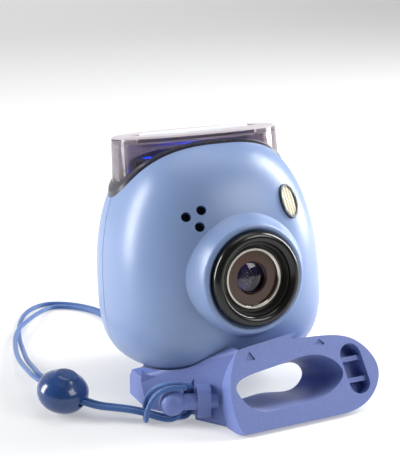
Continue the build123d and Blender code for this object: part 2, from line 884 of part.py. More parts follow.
with BuildPart() as ring_stand:
    # band of the finger ring
    with BuildSketch(ring_plane) as ring_face:
        with BuildLine():
            foot = Line((-1.6, 0.2), (19.0, 0.2))
            tip = Spline(foot @ 1, (25.6, 2.2), (28.6, 7.2), (26.4, 12.0), (21.0, 14.7), (12.0, 15.6),
                         (1.0, 15.2), tangents=((1, 0.05), (-1, -0.12)))
            ThreePointArc(tip @ 1, (-2.3, 7.6), foot @ 0)
        make_face()
        fillet(ring_face.vertices().sort_by(Axis.X)[:2], 1.2)
    extrude(amount=-24)
    with BuildSketch(Plane.XZ.offset(-ring_back)):
        Rectangle(200, 200)
    extrude(amount=-60, mode=Mode.SUBTRACT)
    # arm, from the ring's left side to the end under the camera's flank
    with BuildSketch(Plane.YZ.offset(ring_x + 1.2)) as arm_near:
        with BuildLine():
            Polyline((ring_y + 1.3, 0), (ring_y + 0.4, 0.9), (ring_y + 7.9, 13.6), (ring_y + 12, 12.8),
                     (6.0, 6.0), (6.0, 0), close=True)
        make_face()
        fillet(arm_near.vertices().sort_by(Axis.Z)[-2:], 1.0)
    with BuildSketch(Plane.YZ.offset(arm_end_x)) as arm_far:
        with BuildLine():
            Polyline((4.2, 0), (4.2, 1.4), (6.6, 5.4), (10.4, 5.4), (11.6, 3.6), (11.6, 0), close=True)
        make_face()
        fillet(arm_far.vertices().sort_by(Axis.Z)[-2:], 1.0)
    loft(ruled=True)
    # web between the arm and the seat pad
    with BuildSketch(Plane.XY):
        with BuildLine():
            Polyline((arm_end_x, 6), (ring_x, -6), (ring_x + 0.6, 6), (seat_x - 2, 9), (seat_x - 3, 20),
                     (-5, 14), close=True)
        make_face()
    extrude(amount=6)
    add(belly_room.part, mode=Mode.SUBTRACT)
    # flat beside the strap post, clear of the cord's hitch
    with BuildSketch(post_plane.offset(0.9)):
        Rectangle(9, 6.4)
    extrude(amount=6, mode=Mode.SUBTRACT)
    # seat pad, square to the tripod screw
    with BuildSketch(screw_plane):
        Circle(pad_radius)
    extrude(amount=-seat_height - 4)
    add(tunnel(), mode=Mode.SUBTRACT)
    add(floor_cut.part, mode=Mode.SUBTRACT)
    # pocket and hole for the captive screw
    with BuildSketch(screw_plane.offset(-pad_web)):
        Circle(head_radius + 0.3)
    extrude(amount=-12, mode=Mode.SUBTRACT)
    with BuildSketch(screw_plane):
        Circle(screw_radius + running)
    extrude(amount=-12, mode=Mode.SUBTRACT)
    # thumb scoop in the ring's right end, with two ribs left standing
    with BuildSketch(ring_plane.offset(3)):
        with Locations((scoop_x, scoop_height)):
            SlotOverall(scoop_length, scoop_width, rotation=96)
    extrude(amount=-6.2, mode=Mode.SUBTRACT)
    with BuildSketch(ring_plane.offset(-0.9)):
        with Locations((scoop_x, scoop_height - 2), (scoop_x, scoop_height + 2)):
            Rectangle(scoop_width + 0.4, 0.9)
    extrude(amount=-3)
    # two shallow marks in the ring's upper face
    with BuildSketch(ring_plane) as marks:
        with BuildLine():
            Polyline((1.7, 13.0), (4.0, 12.9), (3.1, 14.6), close=True)
        make_face()
        with BuildLine():
            Polyline((16.2, 13.7), (18.9, 13.2), (17.7, 14.5), close=True)
        make_face()
        fillet(marks.vertices(), 0.2)
    extrude(amount=-mark_depth, mode=Mode.SUBTRACT)
save(ring_stand.part, "ring_stand")

with BuildPart() as screw_washer:
    with BuildSketch(screw_plane.offset(-pad_web)):
        Circle(head_radius)
        Circle(screw_radius + running, mode=Mode.SUBTRACT)
    extrude(amount=-washer_thickness)
save(screw_washer.part, "screw_washer")

head_top = -pad_web - washer_thickness - 0.02
with BuildPart() as tripod_screw:
    with BuildSketch(screw_plane.offset(head_top)):
        Circle(head_radius)
    extrude(amount=-head_thickness)
    with BuildSketch(screw_plane.offset(head_top)):
        Circle(screw_radius)
    extrude(amount=screw_turns * thread_pitch - head_top)
    with BuildSketch(screw_plane.offset(head_top - head_thickness)):
        Rectangle(2 * head_radius - 1.4, 1.3)
    extrude(amount=0.6, mode=Mode.SUBTRACT)
    chamfer(tripod_screw.edges().sort_by(screw_axis)[-1], 0.5)
save(tripod_screw.part, "tripod_screw")

# ---------------------------------------------------------------- strap post
with BuildPart() as strap_post:
    with BuildSketch(post_plane.offset(-1.6)):
        RectangleRounded(6.0, 3.2, 1.2)
    extrude(amount=2.4)
    with BuildSketch(post_plane.offset(-3)):
        Circle(neck_radius)
    extrude(amount=3 + post_reach)
    with Locations(Location(post_plane.offset(post_reach).origin)):
        Sphere(bulb_radius)
    add(ring_stand.part, mode=Mode.SUBTRACT)
save(strap_post.part, "strap_post")

# ---------------------------------------------------------------- cord stopper
hole_way = Vector(0.57, -0.77, -0.28).normalized()
press_way = (Vector(0, 0, 1) - hole_way * hole_way.Z).normalized()
stopper_plane = Plane(origin=(stopper_x, stopper_y, stopper_z), x_dir=hole_way, z_dir=press_way)
strand_gap = 1.24
hole_width = strand_gap + cord_diameter + 0.6
hole_tall = cord_diameter + 0.3
shell_end = -0.67 * stopper_tall / 2
plunger_top = 0.9
spring_seat = 2.9


def cord_hole(upper, lower):
    """The oval passage for both strands, between two heights of the upright stopper."""
    with BuildPart() as solid:
        with BuildSketch(Plane.YZ.offset(-8)):
            with Locations((0, (upper + lower) / 2)):
                RectangleRounded(hole_width, upper - lower, 0.5)
        extrude(amount=16)
    return solid.part


def spheroid(wide, tall):
    """An oblate ball about the upright stopper's press axis."""
    quarter = [radians(angle) for angle in (-90, -60, -30, 0, 30, 60, 90)]
    outline = [(wide / 2 * cos(angle), tall / 2 * sin(angle)) for angle in quarter]
    with BuildPart() as solid:
        with BuildSketch(Plane.XZ):
            with BuildLine():
                Spline(*outline, tangents=((1, 0), (-1, 0)))
                Line(outline[-1], outline[0])
            make_face()
        revolve(axis=Axis.Z)
    return Rot(0, 0, 45) * solid.part


# Each piece is made upright, the cord's passage along X, and then laid in its place on the cord.
with BuildPart() as stopper_shell:
    add(spheroid(stopper_diameter, stopper_tall))
    with BuildSketch(Plane.XY.offset(shell_end)):
        Circle(stopper_diameter)
    extrude(amount=-stopper_tall, mode=Mode.SUBTRACT)
    with BuildSketch(Plane.XY.offset(plunger_top + plunger_travel + 0.1)):
        Circle(plunger_radius + running)
    extrude(amount=-stopper_tall, mode=Mode.SUBTRACT)
    with BuildSketch(Plane.XY.offset(spring_seat)):
        Circle(plunger_radius - 0.8)
    extrude(amount=-2, mode=Mode.SUBTRACT)
    add(cord_hole(hole_tall / 2, -hole_tall / 2), mode=Mode.SUBTRACT)
save(stopper_plane.location * stopper_shell.part, "stopper_shell")

with BuildPart() as stopper_plunger:
    with BuildSketch(Plane.XY.offset(plunger_top)):
        Circle(plunger_radius)
    extrude(amount=-plunger_top - stopper_tall)
    add(spheroid(stopper_diameter - 0.6, stopper_tall - 0.1), mode=Mode.INTERSECT)
    add(cord_hole(hole_tall / 2, -hole_tall / 2 - plunger_travel), mode=Mode.SUBTRACT)
save(stopper_plane.location * stopper_plunger.part, "stopper_plunger")

spring_gap = 0.16
with BuildPart() as stopper_spring:
    with BuildLine():
        turns = Helix(
            pitch=0.55,
            height=spring_seat - plunger_top - 2 * spring_gap,
            radius=1.8,
            center=(0, 0, plunger_top + spring_gap),
        )
    with BuildSketch(Plane(origin=turns @ 0, z_dir=turns % 0)):
        Circle(0.13)
    sweep(is_frenet=True)
save(stopper_plane.location * stopper_spring.part, "stopper_spring")

# ---------------------------------------------------------------- strap cord
# One cord, doubled: from the sleeve behind the camera along the floor to the stopper, round the
# post's neck in a girth hitch, back through the stopper and along the floor to the sleeve.
outer_strand = [
    (3.0, 46.0, 0.55),
    (3.0, 53.2, 0.55),
    (-0.6, 61.2, 0.55),
    (-7.0, 66.0, 0.55),
    (-12.8, 63.2, 0.55),
    (-16.9, 56.4, 0.55),
    (-19.8, 47.6, 0.55),
    (-21.5, 39.0, 0.9),
    (-23.5, 30.0, 2.4),
    (-24.9, 21.0, 4.5),
]
hitch = [
    (-14.3, 1.1, 2.5),
    (-11.3, -0.3, 1.85),
    (-8.6, -2.1, 1.0),
    (-6.05, -3.35, 0.62),
    (-4.0, -3.95, 0.75),
    (-2.9, -2.93, 1.9),
    (-2.86, -2.95, 5.6),
    (-3.66, -4.1, 6.65),
    (-5.1, -4.0, 7.2),
    (-7.15, -3.1, 7.3),
    (-8.97, -1.35, 6.5),
    (-9.92, 0.53, 4.4),
    (-10.37, 1.1, 2.4),
    (-10.46, 0.8, 0.55),
    (-11.87, -2.83, 0.55),
    (-11.85, -3.1, 2.6),
    (-10.95, -3.25, 4.8),
    (-9.72, -3.65, 6.35),
    (-8.0, -4.5, 7.25),
    (-6.37, -5.05, 7.15),
    (-5.0, -4.7, 6.75),
    (-4.12, -2.8, 6.0),
    (-4.03, -2.5, 3.2),
    (-4.95, -3.2, 1.95),
    (-6.75, -4.45, 0.8),
    (-9.0, -3.32, 0.9),
    (-11.72, -1.4, 1.85),
    (-14.6, 0.05, 2.5),
]
inner_strand = [
    (-26.5, 20.2, 4.7),
    (-25.1, 30.2, 2.7),
    (-23.1, 39.6, 1.6),
    (-20.1, 48.4, 1.75),
    (-15.4, 54.4, 1.6),
    (-10.9, 60.2, 0.75),
    (-6.5, 63.2, 0.55),
    (-1.4, 59.2, 0.55),
    (1.6, 53.0, 0.55),
    (1.6, 46.0, 0.55),
]
past_hole = 5.6
through = [
    stopper_plane.from_local_coords((way * past_hole, side * strand_gap / 2, 0))
    for way, side in ((-1, 1), (1, 1), (1, -1), (-1, -1))
]
route = [Vector(*point) for point in outer_strand]
route += through[:2] + [Vector(*point) for point in hitch] + through[2:]
route += [Vector(*point) for point in inner_strand]

radii = []
for before, here, after in zip(route, route[1:], route[2:]):
    half_turn = radians((here - before).get_angle(after - here)) / 2
    shorter = min((here - before).length, (after - here).length)
    radii.append(0.45 * shorter / tan(half_turn))
print("cord radii:", ", ".join(f"{radius:.1f}" for radius in radii))

with BuildPart() as strap_cord:
    with BuildLine():
        cord_line = FilletPolyline(*route, radius=radii)
    with BuildSketch(Plane(origin=cord_line @ 0, z_dir=cord_line % 0)):
        Circle(cord_diameter / 2)
    sweep(transition=Transition.ROUND)
cord_length = cord_line.length
tube_volume = pi * cord_diameter ** 2 / 4 * cord_length
print(f"cord length {cord_length:.1f}, volume {strap_cord.part.volume:.1f} of {tube_volume:.1f}")
save(strap_cord.part, "strap_cord")

sleeve_height = 1.6
with BuildPart() as cord_sleeve:
    with BuildSketch(Plane(origin=(2.3, 46.0, sleeve_height / 2), x_dir=(1, 0, 0), z_dir=(0, -1, 0))):
        SlotOverall(3.4, sleeve_height)
    extrude(amount=6)
    chamfer(cord_sleeve.edges().group_by(Axis.Y)[0], 0.2)
save(cord_sleeve.part, "cord_sleeve")
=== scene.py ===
# %% [markdown]
# # A pocket camera on a finger-ring stand
# The exact shapes (covers, crown, lens group, ring, stopper) come packed from the CAD model, and are
# loaded here as a fixed frame. This lesson gives them their finishes, and adds what a mesh or a curve
# says better: the braided cord, the turned rings inside the lens, and the light inside the crown.

# %% Load the frame
import json
from math import cos, pi, radians, sin

import bmesh
import bpy
from mathutils import Matrix, Vector


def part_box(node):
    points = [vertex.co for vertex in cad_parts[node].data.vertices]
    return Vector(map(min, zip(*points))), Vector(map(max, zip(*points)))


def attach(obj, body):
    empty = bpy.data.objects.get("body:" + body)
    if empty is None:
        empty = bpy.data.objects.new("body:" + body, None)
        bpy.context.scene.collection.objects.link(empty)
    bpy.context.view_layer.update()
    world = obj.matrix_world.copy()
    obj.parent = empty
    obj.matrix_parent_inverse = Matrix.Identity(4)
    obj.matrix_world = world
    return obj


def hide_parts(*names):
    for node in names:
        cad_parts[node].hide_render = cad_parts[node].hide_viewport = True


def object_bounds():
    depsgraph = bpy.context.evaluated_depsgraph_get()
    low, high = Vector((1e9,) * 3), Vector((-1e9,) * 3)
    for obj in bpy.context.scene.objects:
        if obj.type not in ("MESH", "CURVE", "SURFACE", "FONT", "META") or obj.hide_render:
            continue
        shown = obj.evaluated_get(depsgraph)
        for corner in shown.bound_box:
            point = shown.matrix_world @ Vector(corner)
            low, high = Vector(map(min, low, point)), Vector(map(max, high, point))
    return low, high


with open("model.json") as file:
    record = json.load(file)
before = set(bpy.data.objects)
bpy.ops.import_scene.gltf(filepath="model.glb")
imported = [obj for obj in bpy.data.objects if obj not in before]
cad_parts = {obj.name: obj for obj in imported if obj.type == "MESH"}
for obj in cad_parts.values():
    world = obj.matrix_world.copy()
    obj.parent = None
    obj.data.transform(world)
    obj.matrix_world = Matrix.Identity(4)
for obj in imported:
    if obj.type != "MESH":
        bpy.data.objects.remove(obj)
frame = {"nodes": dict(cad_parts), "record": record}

cad_low, cad_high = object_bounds()
mm = 0.001
print("CAD box in mm:", [round((high - low) / mm, 1) for low, high in zip(cad_low, cad_high)])

# %% [markdown]
# ## The camera that looks at the object
# A small thing is best looked at from over twenty centimetres with a long lens, so that its front
# isn't swollen. The viewing camera stands left of the lens side, a little above it.
# It could be aimed with a Track To constraint. A rotation worked out once needs nothing live.

# %% Viewing camera
eye_place = Vector((-88.5, -183.6, 93.95)) * mm
eye_aim = Vector((8.39, 16.74, 28.45)) * mm
eye_focal_length = 107.1
eye_film_width = 36

eye = bpy.data.cameras.new("viewing_camera")
eye.sensor_fit = "HORIZONTAL"
eye.sensor_width = eye_film_width
eye.lens = eye_focal_length
eye.clip_start = 0.005
eye_object = bpy.data.objects.new("viewing_camera", eye)
eye_object.location = eye_place
eye_object.rotation_euler = (eye_aim - eye_place).to_track_quat("-Z", "Y").to_euler()
bpy.context.scene.collection.objects.link(eye_object)
bpy.context.scene.camera = eye_object
bpy.context.scene.view_settings.view_transform = "Standard"
print("distance to the object in mm:", round((eye_aim - eye_place).length / mm))

# %% [markdown]
# ## Helpers for materials
# Colours are picked as sRGB hex, the way a paint chart gives them, but shaders add light in linear
# values, so one function converts them. A second one adds a node with its settings and links.

# %% Colour and node helpers
def linear(hex_colour, alpha=1.0):
    """An sRGB hex colour as the linear values that a shader works in."""
    values = [int(hex_colour[i:i + 2], 16) / 255 for i in (1, 3, 5)]
    return [v / 12.92 if v <= 0.04045 else ((v + 0.055) / 1.055) ** 2.4 for v in values] + [alpha]


def add_node(tree, kind, inputs=None, **settings):
    """Add a node, set its properties, and fill or link its inputs."""
    node = tree.nodes.new(kind)
    for name, value in settings.items():
        setattr(node, name, value)
    for name, value in (inputs or {}).items():
        if isinstance(value, bpy.types.NodeSocket):
            tree.links.new(value, node.inputs[name])
        else:
            node.inputs[name].default_value = value
    return node


def new_material(name, **sockets):
    """A material with one Principled shader, whose constant values are set on its own sockets."""
    material = bpy.data.materials.new(name)
    material.use_nodes = True
    tree = material.node_tree
    shader = tree.nodes["Principled BSDF"]
    for socket, value in sockets.items():
        shader.inputs[socket.replace("_", " ")].default_value = value
    return material, tree, shader


def mix_colours(tree, share, first, second):
    """A colour between two, by a share from 0 to 1."""
    mix = add_node(tree, "ShaderNodeMix", {"Factor": share}, data_type="RGBA")
    for socket, colour in ((mix.inputs[6], first), (mix.inputs[7], second)):
        if isinstance(colour, bpy.types.NodeSocket):
            tree.links.new(colour, socket)
        else:
            socket.default_value = colour
    return mix.outputs[2]


def remap(tree, value, low, high, new_low=0.0, new_high=1.0, smooth=True):
    """A value moved from one range to another, and held inside it."""
    kind = "SMOOTHSTEP" if smooth else "LINEAR"
    inputs = {"Value": value, "From Min": low, "From Max": high, "To Min": new_low, "To Max": new_high}
    return add_node(tree, "ShaderNodeMapRange", inputs, interpolation_type=kind).outputs[0]


def grain(tree, size_mm, strength, depth_mm, detail=2.0):
    """A fine moulded texture as bump, its grains about `size_mm` across."""
    place = add_node(tree, "ShaderNodeTexCoord").outputs["Object"]
    noise = add_node(tree, "ShaderNodeTexNoise",
                     {"Vector": place, "Scale": 1 / (size_mm * mm), "Detail": detail})
    bump = add_node(tree, "ShaderNodeBump", {"Height": noise.outputs[0], "Strength": strength,
                                             "Distance": depth_mm * mm})
    return noise.outputs[0], bump.outputs[0]


# %% [markdown]
# ## Satin moulded covers
# The two half shells are ABS moulded in a spark-eroded tool: an even, very fine grain that turns a
# highlight into a broad soft sheen. Paint would hide the seam; moulded-through colour keeps it crisp.
# A noise texture at about 0.12 mm gives the grain, and a much larger one the slight unevenness.

# %% Moulded plastics
def moulded_plastic(name, colour, shade, roughness, size_mm=0.12, strength=0.12, **sockets):
    """Moulded-through ABS or TPU with a fine tool grain and a slight drift in colour."""
    material, tree, shader = new_material(name, Roughness=roughness, **sockets)
    fine, bump = grain(tree, size_mm, strength, 0.05)
    place = add_node(tree, "ShaderNodeTexCoord").outputs["Object"]
    drift = add_node(tree, "ShaderNodeTexNoise", {"Vector": place, "Scale": 60.0, "Detail": 1.0}).outputs[0]
    colour_now = mix_colours(tree, remap(tree, drift, 0.3, 0.7), linear(colour), linear(shade))
    rough = remap(tree, fine, 0.35, 0.65, roughness - 0.05, roughness + 0.06)
    tree.links.new(colour_now, shader.inputs["Base Color"])
    tree.links.new(rough, shader.inputs["Roughness"])
    tree.links.new(bump, shader.inputs["Normal"])
    return material


finishes = {
    "cover_satin": moulded_plastic("satin_abs_lavender_blue", "#7E93BC", "#7A90B9", 0.33),
    "button_satin": moulded_plastic("satin_abs_pale_lavender", "#8C9BBE", "#8998BB", 0.34),
    "black_plastic": moulded_plastic("glass_filled_nylon_black", "#15161A", "#0F1013", 0.55),
    "white_plastic": moulded_plastic("polycarbonate_white", "#E4E4E0", "#DADAD5", 0.4),
    "seal_dark": moulded_plastic("soft_tpu_lip_dark", "#34323F", "#2C2A36", 0.3, 0.2),
    "washer_nylon": moulded_plastic("cut_nylon_natural", "#D8D6CC", "#CFCDC2", 0.5),
    "battery_foil": moulded_plastic("pouch_foil_grey", "#8E9196", "#85888D", 0.35, 0.5, 0.3, Metallic=0.8),
    "capacitor_sleeve": moulded_plastic("shrink_sleeve_black", "#16181F", "#101218", 0.25, 0.4),
    "board_green": moulded_plastic("solder_mask_green", "#1D4A30", "#174028", 0.35, 0.3),
    "ribbon_amber": moulded_plastic("polyimide_film_amber", "#A8702C", "#9C6423", 0.3, 0.3),
    "silicon": moulded_plastic("packaged_silicon_grey", "#33374A", "#2A2E40", 0.25, 0.3),
}
print("moulded finishes:", len(finishes))

# %% [markdown]
# ## Grained soft-touch stand
# The ring is moulded in a darker blue with a coarse matte grain, so its lit face looks frosted and
# its hollows go deep blue. The grain is about 0.2 mm, large enough to sparkle a little: a Voronoi
# texture breaks it into separate grains, and the higher ones are painted slightly paler, a painted
# highlight on the grain tops.

# %% Stand and stopper plastics
def grained_plastic(name, colour, pale, roughness, size_mm):
    """Coarse matte moulded grain, with a painted highlight that makes the tops paler."""
    material, tree, shader = new_material(name, Roughness=roughness)
    shader.inputs["Sheen Weight"].default_value = 0.25
    shader.inputs["Sheen Roughness"].default_value = 0.4
    place = add_node(tree, "ShaderNodeTexCoord").outputs["Object"]
    cells = add_node(tree, "ShaderNodeTexVoronoi", {"Vector": place, "Scale": 1 / (size_mm * mm)}).outputs[0]
    fine, fine_bump = grain(tree, size_mm / 2, 0.2, 0.05, 4.0)
    height = add_node(tree, "ShaderNodeMath", {0: cells, 1: fine}, operation="ADD").outputs[0]
    bump = add_node(tree, "ShaderNodeBump", {"Height": height, "Strength": 0.15, "Distance": 0.05 * mm,
                                             "Normal": fine_bump}).outputs[0]
    # Painted highlight: the higher grains are tinted towards the paler colour.
    tone = mix_colours(tree, remap(tree, height, 0.6, 1.25), linear(colour), linear(pale))
    tree.links.new(tone, shader.inputs["Base Color"])
    tree.links.new(bump, shader.inputs["Normal"])
    return material


finishes["stand_matte"] = grained_plastic("grained_soft_touch_blue", "#5C6EAE", "#6B7CB9", 0.46, 0.2)
finishes["stopper_navy"] = moulded_plastic("gloss_polypropylene_navy", "#23437A", "#1F3C70", 0.22, 0.3, 0.05)
finishes["stopper_navy"].node_tree.nodes["Principled BSDF"].inputs["Coat Weight"].default_value = 0.3

# %% [markdown]
# ## Metals
# Turned and plated parts show the tool's marks as rings round their axis. Small steel parts are only
# tumbled, so theirs is a fine scatter. A metal's colour goes in its base colour, and its default IOR stays.

# %% Metals
def tumbled_metal(name, colour, roughness):
    """Plated and tumbled: fine random scratches, no direction."""
    material, tree, shader = new_material(name, Metallic=1.0, Roughness=roughness)
    fine, bump = grain(tree, 0.25, 0.15, 0.02, 5.0)
    shader.inputs["Base Color"].default_value = linear(colour)
    tree.links.new(remap(tree, fine, 0.3, 0.7, roughness - 0.08, roughness + 0.1),
                   shader.inputs["Roughness"])
    tree.links.new(bump, shader.inputs["Normal"])
    return material


finishes["steel"] = tumbled_metal("zinc_plated_steel", "#B9BBBE", 0.3)
finishes["brass"] = tumbled_metal("turned_brass", "#C7A45C", 0.28)

# %% [markdown]
# ## Finishes that turn about the lens axis
# The cone, the silver ring and the brown plate are turned or spun parts. Their marks depend only on
# the distance from the lens axis, which leans with the camera. So one helper takes a point on the
# surface, moves it to the axis, turns it upright, and measures how far out it is.

# %% Distance from the lens axis
lens_low, lens_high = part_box("front_lens")
lens_centre = (lens_low + lens_high) / 2
recline = radians(8.5)
lens_way = Vector((0, cos(recline), -sin(recline)))
lens_up = Vector((0, sin(recline), cos(recline)))


def lens_radius(tree):
    """How far a surface point is from the lens axis, in millimetres."""
    place = add_node(tree, "ShaderNodeTexCoord").outputs["Object"]
    moved = add_node(tree, "ShaderNodeVectorMath", {0: place, 1: lens_centre},
                     operation="SUBTRACT").outputs[0]
    upright = add_node(tree, "ShaderNodeVectorRotate", {"Vector": moved, "Angle": recline},
                       rotation_type="X_AXIS").outputs[0]
    flat = add_node(tree, "ShaderNodeVectorMath", {0: upright, 1: (1000, 0, 1000)},
                    operation="MULTIPLY").outputs[0]
    return add_node(tree, "ShaderNodeVectorMath", {0: flat}, operation="LENGTH").outputs["Value"]


def turned_finish(name, colour, edge_colour, roughness, pitch_mm, strength, **sockets):
    """A lathe-turned finish with rings `pitch_mm` apart."""
    material, tree, shader = new_material(name, Roughness=roughness, **sockets)
    radius = lens_radius(tree)
    turns = add_node(tree, "ShaderNodeMath", {0: radius, 1: 2 * pi / pitch_mm},
                     operation="MULTIPLY").outputs[0]
    wave = add_node(tree, "ShaderNodeMath", {0: turns}, operation="SINE").outputs[0]
    bump = add_node(tree, "ShaderNodeBump", {"Height": wave, "Strength": strength, "Distance": 0.03 * mm})
    tone = mix_colours(tree, remap(tree, wave, -1, 1, 0.0, 0.35), linear(colour), linear(edge_colour))
    tree.links.new(tone, shader.inputs["Base Color"])
    tree.links.new(bump.outputs[0], shader.inputs["Normal"])
    return material


finishes["bezel_dark"] = turned_finish("gloss_abs_black_warm", "#0E0D0C", "#191714", 0.2, 0.9, 0.12)
finishes["ring_silver"] = turned_finish("anodised_aluminium_bright", "#D9D5CB", "#B9B4A8", 0.2, 0.2, 0.15,
                                        Metallic=1.0)
finishes["plate_brown"] = turned_finish("bronze_lacquered_plate", "#46291A", "#50311F", 0.3, 0.35, 0.05,
                                        Coat_Weight=0.5)
print("lens centre in mm:", [round(v / mm, 2) for v in lens_centre])

# %% [markdown]
# ## Glass, smoke and milk
# The front lens is coated glass with a purple bloom. The crown is smoke-tinted polycarbonate: its top
# is frosted and pale, its sides clear enough to show the light inside. The bar and the light guide
# are milky acrylic. The lens and the crown are Principled shaders with transmission; the bar and the guide
# are Principled shaders with light in them.

# %% Clear and milky plastics
def lens_glass():
    """Coated glass: clear, glossy, with a purple bloom towards the rim."""
    material, tree, shader = new_material("coated_glass_purple", Roughness=0.02, IOR=1.52,
                                          Transmission_Weight=1.0)
    tone = mix_colours(tree, remap(tree, lens_radius(tree), 0.8, 2.8), linear("#E8E2F4"), linear("#7F6FC0"))
    tree.links.new(tone, shader.inputs["Base Color"])
    return material


def smoked_crown():
    """Smoke-tinted polycarbonate, frosted and pale where it faces up."""
    material, tree, shader = new_material("smoked_polycarbonate", Roughness=0.12, IOR=1.3)
    top_height = max(v.co.dot(lens_up) for v in frame["nodes"]["crown"].data.vertices)
    place = add_node(tree, "ShaderNodeTexCoord").outputs["Object"]
    height = add_node(tree, "ShaderNodeVectorMath", {0: place, 1: lens_up},
                      operation="DOT_PRODUCT").outputs["Value"]
    facing = add_node(tree, "ShaderNodeNewGeometry").outputs["Normal"]
    upward = add_node(tree, "ShaderNodeVectorMath", {0: facing, 1: lens_up},
                      operation="DOT_PRODUCT").outputs["Value"]
    near_top = remap(tree, height, top_height - 2.6 * mm, top_height - 1.6 * mm)
    lid = add_node(tree, "ShaderNodeMath", {0: near_top, 1: remap(tree, upward, 0.5, 0.8)},
                   operation="MULTIPLY").outputs[0]
    tone = mix_colours(tree, lid, linear("#A0979F"), linear("#C9C2C6"))
    tree.links.new(tone, shader.inputs["Base Color"])
    tree.links.new(remap(tree, lid, 0, 1, 0.10, 0.45), shader.inputs["Roughness"])
    tree.links.new(remap(tree, lid, 0, 1, 0.93, 0.15), shader.inputs["Transmission Weight"])
    return material


def lit_acrylic(name, colour, glow, strength, low, high, along):
    """Milky acrylic with light in it, uneven along one direction."""
    material, tree, shader = new_material(name, Roughness=0.25, IOR=1.49)
    place = add_node(tree, "ShaderNodeTexCoord").outputs["Object"]
    way = add_node(tree, "ShaderNodeVectorMath", {0: place, 1: along},
                   operation="DOT_PRODUCT").outputs["Value"]
    band = remap(tree, way, low, high)
    fade = remap(tree, way, high, high + 3.0 * mm, 1.0, 0.15)
    lumps = add_node(tree, "ShaderNodeTexNoise", {"Vector": place, "Scale": 260.0, "Detail": 0.0}).outputs[0]
    lit = add_node(tree, "ShaderNodeMath", {0: band, 1: fade}, operation="MULTIPLY").outputs[0]
    uneven = add_node(tree, "ShaderNodeMath", {0: lit, 1: remap(tree, lumps, 0.4, 0.62)},
                      operation="MULTIPLY").outputs[0]
    power = add_node(tree, "ShaderNodeMath", {0: uneven, 1: strength}, operation="MULTIPLY").outputs[0]
    shader.inputs["Base Color"].default_value = linear(colour)
    shader.inputs["Emission Color"].default_value = linear(glow)
    tree.links.new(power, shader.inputs["Emission Strength"])
    return material


bar_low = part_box("power_bar")[0]
finishes["lens_glass"] = lens_glass()
finishes["crown_smoke"] = smoked_crown()
finishes["bar_milk"] = lit_acrylic("milky_acrylic_bar", "#EDF1F8", "#3C7BFF", 0.9, bar_low.x,
                                   bar_low.x + 9 * mm,
                                   Vector((1, 0, 0)))
finishes["flash_cream"] = moulded_plastic("ribbed_flash_window", "#EFE9D6", "#E6DFC9", 0.15, 0.5, 0.05)
guide_finish = lit_acrylic("light_guide_blue", "#20222E", "#0A3DFF", 32.0, bar_low.x, bar_low.x + 9 * mm,
                           Vector((1, 0, 0)))
led_finish = new_material("lit_led_blue", Roughness=0.3, Emission_Strength=9.0)[0]
led_finish.node_tree.nodes["Principled BSDF"].inputs["Emission Color"].default_value = linear("#2C6BFF")

# %% [markdown]
# ## Giving the frame its finishes
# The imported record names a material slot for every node, so the finishes are assigned by slot, and
# only the few pieces that differ from their slot are named one by one.

# %% Assign finishes
special = {
    "light_guide": guide_finish,
    "status_leds": led_finish,
    "lens_cone": turned_finish("stepped_baffle_black", "#0C0B0A", "#1B1916", 0.5, 0.5, 0.5),
    "flash_bezel": turned_finish("smoked_chrome_rim", "#6A6C70", "#3B3C40", 0.22, 0.4, 0.05, Metallic=0.8),
    "speaker_mesh": finishes["black_plastic"],
    "strap_post": finishes["stand_matte"],
}
for part in frame["record"]["subparts"]:
    name = part["node"]
    materials = frame["nodes"][name].data.materials
    materials.clear()
    materials.append(special.get(name, finishes.get(part["material_slot"], finishes["black_plastic"])))

# %% [markdown]
# ## The braided strap cord
# The strap is one cord, doubled: it starts in its sleeve, runs through the stopper, makes a girth
# hitch round the post's neck, and comes back. Its line is a NURBS curve through listed points.
# The braid could be eight woven tubes, but at a millimetre across they would be too fine to see, so
# one tube follows the line, and its surface is pushed in and out along crossing helices.

# %% Cord route
stopper_seat = Vector((-23.4, 8.9, 4.3)) * mm
hole_way = Vector((0.57, -0.77, -0.28)).normalized()
press_way = (Vector((0, 0, 1)) - hole_way * hole_way.z).normalized()
side_way = press_way.cross(hole_way)
strand_half_gap = 0.62 * mm
past_hole = 5.6 * mm


def beside_hole(way, side):
    """A point on a strand, in line with the stopper's passage."""
    return stopper_seat + hole_way * way * past_hole + side_way * side * strand_half_gap


outer_strand = [
    (3.0, 46.0, 0.55), (3.0, 53.2, 0.55), (-0.6, 61.2, 0.55), (-7.0, 66.0, 0.55), (-12.8, 63.2, 0.55),
    (-16.9, 56.4, 0.55), (-19.8, 47.6, 0.55), (-21.5, 39.0, 0.9), (-23.5, 30.0, 2.4), (-24.9, 21.0, 4.5),
]
hitch = [
    (-14.3, 1.1, 2.5), (-11.3, -0.3, 1.85), (-8.6, -2.1, 1.0), (-6.05, -3.35, 0.62), (-4.0, -3.95, 0.75),
    (-2.9, -2.93, 1.9), (-2.86, -2.95, 5.6), (-3.66, -4.1, 6.65), (-5.1, -4.0, 7.2), (-7.15, -3.1, 7.3),
    (-8.97, -1.35, 6.5), (-9.92, 0.53, 4.4), (-10.37, 1.1, 2.4), (-10.46, 0.8, 0.55), (-11.87, -2.83, 0.55),
    (-11.85, -3.1, 2.6), (-10.95, -3.25, 4.8), (-9.72, -3.65, 6.35), (-8.0, -4.5, 7.25), (-6.37, -5.05, 7.15),
    (-5.0, -4.7, 6.75), (-4.12, -2.8, 6.0), (-4.03, -2.5, 3.2), (-4.95, -3.2, 1.95), (-6.75, -4.45, 0.8),
    (-9.0, -3.32, 0.9), (-11.72, -1.4, 1.85), (-14.6, 0.05, 2.5),
]
inner_strand = [
    (-26.5, 20.2, 4.7), (-25.1, 30.2, 2.7), (-23.1, 39.6, 1.6), (-20.1, 48.4, 1.75), (-15.4, 54.4, 1.6),
    (-10.9, 60.2, 0.75), (-6.5, 63.2, 0.55), (-1.4, 59.2, 0.55), (1.6, 53.0, 0.55), (1.6, 46.0, 0.55),
]
